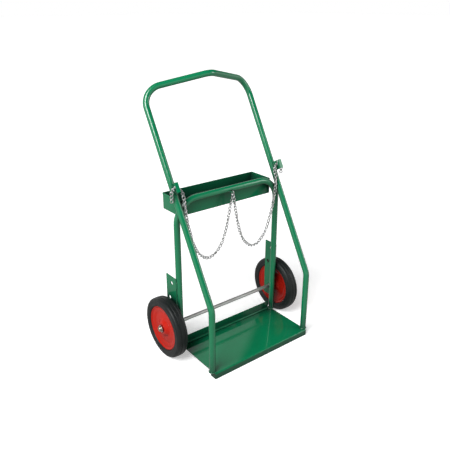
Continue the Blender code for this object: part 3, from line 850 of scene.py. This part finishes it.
def smooth_route(points, spacing):
    """Evenly spaced points on a Catmull-Rom curve through the given ones."""
    padded = [points[0] * 2 - points[1]] + points + [points[-1] * 2 - points[-2]]
    fine = []
    for i in range(len(points) - 1):
        p0, p1, p2, p3 = padded[i:i + 4]
        for k in range(60):
            t = k / 60
            b = (p2 - p0) * t
            c = (p0 * 2 - p1 * 5 + p2 * 4 - p3) * t * t
            d = (p1 * 3 - p0 - p2 * 3 + p3) * t * t * t
            fine.append((p1 * 2 + b + c + d) * 0.5)
    fine.append(points[-1])
    lengths = [0.0]
    for a, b in zip(fine, fine[1:]):
        lengths.append(lengths[-1] + (b - a).length)
    count = round(lengths[-1] / spacing)
    result, j = [], 0
    for k in range(count + 1):
        want = lengths[-1] * k / count
        while j < len(fine) - 2 and lengths[j + 1] < want:
            j += 1
        part = (want - lengths[j]) / (lengths[j + 1] - lengths[j])
        result.append(fine[j].lerp(fine[j + 1], min(1.0, max(0.0, part))))
    return result, lengths[-1]


def swag_ends(side, sign):
    """Where a chain's first link hooks the eye link, and where its last link hooks the slot link."""
    y = sign * 0.0018
    drop = LINK_REACH - EYE_SIDE + math.sqrt(EYE_SIDE ** 2 - y ** 2)
    start = Vector((0.0, EYE_Y + y, EYE_LINK_Z - drop))
    low = Vector(SWAG_RISE[-1])
    hook_x = abs(middle("slot_link_" + side).x) - LINK_REACH + LINK_SIDE
    arc_centre = Vector((sign * hook_x, SLOT_Y, SLOT_LINK_Z))
    pull = Vector((sign * low.x - arc_centre.x, 0.0, low.z - arc_centre.z)).normalized()
    return start, arc_centre + pull * LINK_SIDE


def swag(side, sign):
    """One hanging chain: twisted links, each hooked through the next, from the eye link to the slot link."""
    start, end = swag_ends(side, sign)
    route = [start]
    route += [Vector((sign * px, SWAG_Y, pz)) for px, pz in SWAGS[side]]
    route[1].y = EYE_Y - 0.0006
    route += [Vector((sign * px, AXLE_Y + py, pz)) for px, py, pz in SWAG_RISE]
    route.append(end)
    fine, length = smooth_route(route, 0.0005)
    frames = frames_along(fine)
    count = math.ceil((length - 2 * HOOK) / (2 * LINK_IN_HALF)) + 1
    pitch = (length - 2 * HOOK) / (count - 1)
    stops = [HOOK + pitch * k for k in range(count)]

    def frame_at(s):
        return frames[min(len(frames) - 1, round(s / length * (len(frames) - 1)))]

    def roll(s, across):
        _, a, b = frame_at(s)
        return math.atan2(across.dot(b), across.dot(a))

    first = roll(0.0, Vector((1, 0, 0)))
    last = roll(length, Vector((0, 1, 0)))
    base = first + count * LINK_TWIST + (count - 1) * math.pi / 2
    spare = (last - base + math.pi / 2) % math.pi - math.pi / 2
    twist = LINK_TWIST + spare / count
    meshes = []
    for k, s in enumerate(stops):
        point, a, b = frame_at(s)
        turn = first + k * (twist + math.pi / 2)
        meshes.append(link_mesh(point, a.cross(b), a * math.cos(turn) + b * math.sin(turn), twist))
    name = "chain_" + side
    obj = piece(name + "_links", *joined(meshes), CHAIN_ZINC, name, name, [name], 70)


def chain_ends(side, sign):
    """The link held in the keeper's slot, and the free links that hang outside it."""
    x = side_x(KEEPER_Z)
    node = "slot_link_" + side
    centre = middle(node)
    slot_mesh = link_mesh(centre, Vector((1, 0, 0)), Vector((0, 0, 1)))
    piece(node + "_skin", *slot_mesh, CHAIN_ZINC, "cart", node, [node], 70)
    joint = Vector((x + TAIL_PITCH / 2, SLOT_Y, SLOT_LINK_Z))
    roll = 0.0
    for i in range(TAIL_LINKS[side]):
        turn = math.radians(TAIL_TURNS[i])
        along = Vector((sign * math.cos(turn), 0.0, -math.sin(turn)))
        centre = Vector((sign * joint.x, joint.y, joint.z)) + along * (TAIL_PITCH / 2)
        flat = Vector((0.0, 1.0, 0.0))
        across = flat * math.cos(roll) + along.cross(flat) * math.sin(roll)
        node = f"tail_link_{side}_{i + 1}"
        mesh = link_mesh(centre, along, across, LINK_TWIST)
        piece(node + "_skin", *mesh, CHAIN_ZINC, "tail_" + side, node, [node], 70)
        joint += Vector((math.cos(turn), 0.0, -math.sin(turn))) * TAIL_PITCH
        roll += LINK_TWIST + math.pi / 2


def chain_eye():
    """Staple welded to the front of the rear frame's bar, and the link that both chains hang from."""
    wide = half("chain_eye").x - 0.0020
    y = EYE_Y + EYE_OUT + 0.0015
    points = [(-wide, y, EYE_Z), (-wide, EYE_Y, EYE_Z), (wide, EYE_Y, EYE_Z), (wide, y, EYE_Z)]
    path = filleted(points, [0.0055, 0.0055], math.radians(8))
    piece("chain_eye_skin", *rod(path, 0.0020, 20), TUBE_PAINT, "cart", "chain_eye", ["chain_eye"], 70)
    centre = Vector((0.0, EYE_Y, EYE_LINK_Z))
    mesh = link_mesh(centre, Vector((0, 0, 1)), Vector((0, 1, 0)), side=EYE_SIDE)
    piece("eye_link_skin", *mesh, CHAIN_ZINC, "cart", "eye_link", ["eye_link"], 70)
    for sign in (-1, 1):
        foot = Vector((sign * wide, REAR_Y - TUBE_R + 0.0006, EYE_Z))
        loop = [foot + Vector((a, 0.0, b)) for a, b in arc(0.0, 0.0, 0.0024, 0, 360, 18)[:-1]]
        bead(f"weld_eye_{sign_name(sign)}", loop, 0.0011, "chain_eye", closed=True)


# ---------------------------------------------------------------- welds


def sign_name(sign):
    return "left" if sign < 0 else "right"


def bead(name, path, radius, slot, closed=False):
    """A painted weld bead: a run of overlapping drops along a path."""
    ripple = 0.0024
    fine = []
    spans = list(zip(path, path[1:] + ([path[0]] if closed else [])))
    spans = spans if closed else spans[:len(path) - 1]
    travelled = 0.0
    for a, b in spans:
        steps = max(1, round((b - a).length / (ripple / 5)))
        for k in range(steps):
            fine.append((a.lerp(b, k / steps), travelled + (b - a).length * k / steps))
        travelled += (b - a).length
    if not closed:
        fine.append((path[-1], travelled))
    waves = max(1, round(travelled / ripple))
    radii = []
    for _, s in fine:
        phase = (s / travelled * waves) % 1.0
        swell = 0.86 + 0.20 * (1 - phase) ** 1.5
        wander = 0.05 * math.sin(s * 731.0) + 0.04 * math.sin(s * 1327.0 + 1.0)
        fade = 1.0 if closed else min(1.0, 0.35 + min(s, travelled - s) / (radius * 1.6))
        radii.append(radius * (swell + wander) * fade)
    line = [p for p, _ in fine]
    if closed:
        rings = [circle_ring(f, r, 12) for f, r in zip(closed_frames(line), radii)]
        points, faces = sum(rings, []), ring_faces(rings, True)
    else:
        points, faces = rod(line, radii, 12)
    return piece(name, points, faces, TUBE_PAINT, "cart", slot, (), 80)


def foot_weld(name, x, y, slot):
    around = arc(0.0, 0.0, TUBE_R + 0.0008, 0, 360, 72)[:-1]
    loop = [Vector((x + a, y + b, PLATE_TOP + 0.0008)) for a, b in around]
    bead(name, loop, 0.0021, slot, closed=True)


def welds():
    for side, sign in SIDES:
        foot_weld("weld_front_foot_" + side, sign * FOOT_X, FRONT_Y, "main_frame_tube")
        foot_weld("weld_rear_foot_" + side, sign * REAR_X, REAR_Y, "rear_frame_tube")
        bracket_low, bracket_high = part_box("axle_bracket_" + side)
        plate_x = bracket_low.x if sign > 0 else bracket_high.x
        front = (plate_x + sign * 0.0008, bracket_low.y - 0.0004)
        back = (plate_x - sign * 0.0016, REAR_Y + 0.0068)
        for label, (x, y) in (("front", front), ("back", back)):
            for number, z in enumerate((0.100, 0.205, 0.300)):
                run = [Vector((x, y, z + 0.030 * k / 12)) for k in range(13)]
                bead(f"weld_bracket_{side}_{label}_{number + 1}", run, 0.0021, "axle_bracket_" + side)
        dy, dz = slope()
        x = side_x(KEEPER_Z)
        for label, offset in (("in", -1), ("out", 1)):
            run = []
            for k in range(13):
                u = KEEPER_HALF * (k / 6 - 1) * 0.94
                across = sign * offset * (KEEPER_T / 2 + 0.0006)
                v = TUBE_R + 0.0004
                y = side_y(KEEPER_Z) + dy * u - dz * v
                run.append(Vector((sign * x + across, y, KEEPER_Z + dz * u + dy * v)))
            bead(f"weld_keeper_{side}_{label}", run, 0.0018, "keeper_" + side)
        corner_weld(side, sign)
    tray_low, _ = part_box("tray")
    for number, x in enumerate((-0.115, -0.035, 0.045, 0.125)):
        z = REAR_BAR_Z - 0.0062
        run = [Vector((x + 0.026 * (k / 12 - 0.5), tray_low.y - 0.0010, z)) for k in range(13)]
        bead(f"weld_tray_{number + 1}", run, 0.0021, "tray")


def corner_weld(side, sign):
    """Where the rear frame's bend comes nearest to the sloping tube."""
    best = None
    rear = [p for p in rear_path() if p.x * sign > 0]
    for a, b in zip(rear, rear[1:]):
        for i in range(41):
            p = a.lerp(b, i / 40)
            z = p.z
            for _ in range(12):
                q = Vector((sign * side_x(z), side_y(z), z))
                dy, dz = slope()
                z += ((p.y - q.y) * dy + (p.z - q.z) * dz) * dz
            q = Vector((sign * side_x(z), side_y(z), z))
            gap = (p - q).length
            if best is None or gap < best[0]:
                best = (gap, p, q)
    _, p, q = best
    between = (q - p).normalized()
    touch = (p + q) / 2
    dy, dz = slope()
    along = Vector((0.0, dy, dz))
    forward = between.cross(along).normalized()
    for label, way in (("front", 1), ("back", -1)):
        run = []
        for k in range(13):
            t = k / 6 - 1
            run.append(touch + along * 0.012 * t + forward * way * (0.0052 + 0.0016 * t * t))
        bead(f"weld_corner_{side}_{label}", run, 0.0026, "main_frame_tube")


# ---------------------------------------------------------------- stage


PANEL_EDGE = 42.1
PANEL = (0.74, 0.76, 0.76, 1.0)
DARK = (0.014, 0.015, 0.016, 1.0)
UNDER = (0.52, 0.53, 0.52, 1.0)


def floor():
    """White ground for the camera. The paint doesn't see it: the world stands in for it, a little darker."""
    size = 60.0
    points = [Vector((x * size, y * size, -0.0002)) for x, y in ((-1, -1), (1, -1), (1, 1), (-1, 1))]
    mesh = bpy.data.meshes.new("floor")
    mesh.from_pydata([tuple(p) for p in points], [], [(0, 1, 2, 3)])
    mesh.materials.append(floor_material())
    obj = bpy.data.objects.new("floor", mesh)
    bpy.context.scene.collection.objects.link(obj)
    obj.visible_diffuse = False
    obj.visible_glossy = False


def softbox(name, at, aim, width, height, power):
    data = bpy.data.lights.new(name, "AREA")
    data.shape = "RECTANGLE"
    data.size = width
    data.size_y = height
    data.energy = power
    obj = bpy.data.objects.new(name, data)
    obj.location = at
    obj.rotation_mode = "QUATERNION"
    obj.rotation_quaternion = (Vector(aim) - Vector(at)).to_track_quat("-Z", "Y")
    obj.visible_camera = False
    bpy.context.scene.collection.objects.link(obj)


def side_of(tree, way, turn):
    """1 on the near side of the upright plane through the middle at this angle from +Y, else 0."""
    angle = math.radians(turn)
    node = add(tree, "ShaderNodeVectorMath", {"operation": "DOT_PRODUCT"})
    tree.links.new(way, node.inputs[0])
    node.inputs[1].default_value = (math.cos(angle), -math.sin(angle), 0.0)
    return remap(tree, node.outputs["Value"], -0.010, 0.010, 1.0, 0.0)


def world():
    """Dark studio overhead, a white band round the horizon, one dim panel behind the cart, grey below."""
    made = bpy.data.worlds.new("studio")
    made.use_nodes = True
    tree = made.node_tree
    ground = tree.nodes["Background"]
    way = add(tree, "ShaderNodeTexCoord").outputs["Generated"]
    up = add(tree, "ShaderNodeSeparateXYZ", Vector=way).outputs["Z"]
    panel = multiply(tree, side_of(tree, way, PANEL_EDGE), side_of(tree, way, PANEL_EDGE - 260.0))
    panel = multiply(tree, panel, remap(tree, up, 0.40, 0.43, 0.0, 1.0))
    panel = multiply(tree, panel, remap(tree, up, 0.72, 0.80, 1.0, 0.0))
    dark = mixed(tree, panel, DARK, PANEL)
    colour = mixed(tree, remap(tree, up, 0.16, 0.36, 0.0, 1.0), (1.0, 1.0, 1.0, 1.0), dark)
    colour = mixed(tree, remap(tree, up, -0.14, -0.05, 0.0, 1.0), UNDER, colour)
    tree.links.new(colour, ground.inputs["Color"])
    ground.inputs["Strength"].default_value = 1.0
    bpy.context.scene.world = made


def studio():
    aim = (0.0, 0.0, 0.50)
    world()
    floor()
    softbox("key", (-3.4, -1.3, 4.1), aim, 2.8, 2.8, 370)
    softbox("fill", (2.4, -2.1, 1.8), aim, 0.9, 1.8, 24)
    bpy.context.scene.view_settings.view_transform = "Standard"


def main():
    camera()
    for side, sign in SIDES:
        swag(side, sign)
    tubes()
    base_plate()
    tray()
    axle()
    chain_eye()
    for side, sign in SIDES:
        axle_bracket(side, sign)
        keeper(side, sign)
        wheel(side, sign)
        chain_ends(side, sign)
    welds()
    studio()


main()
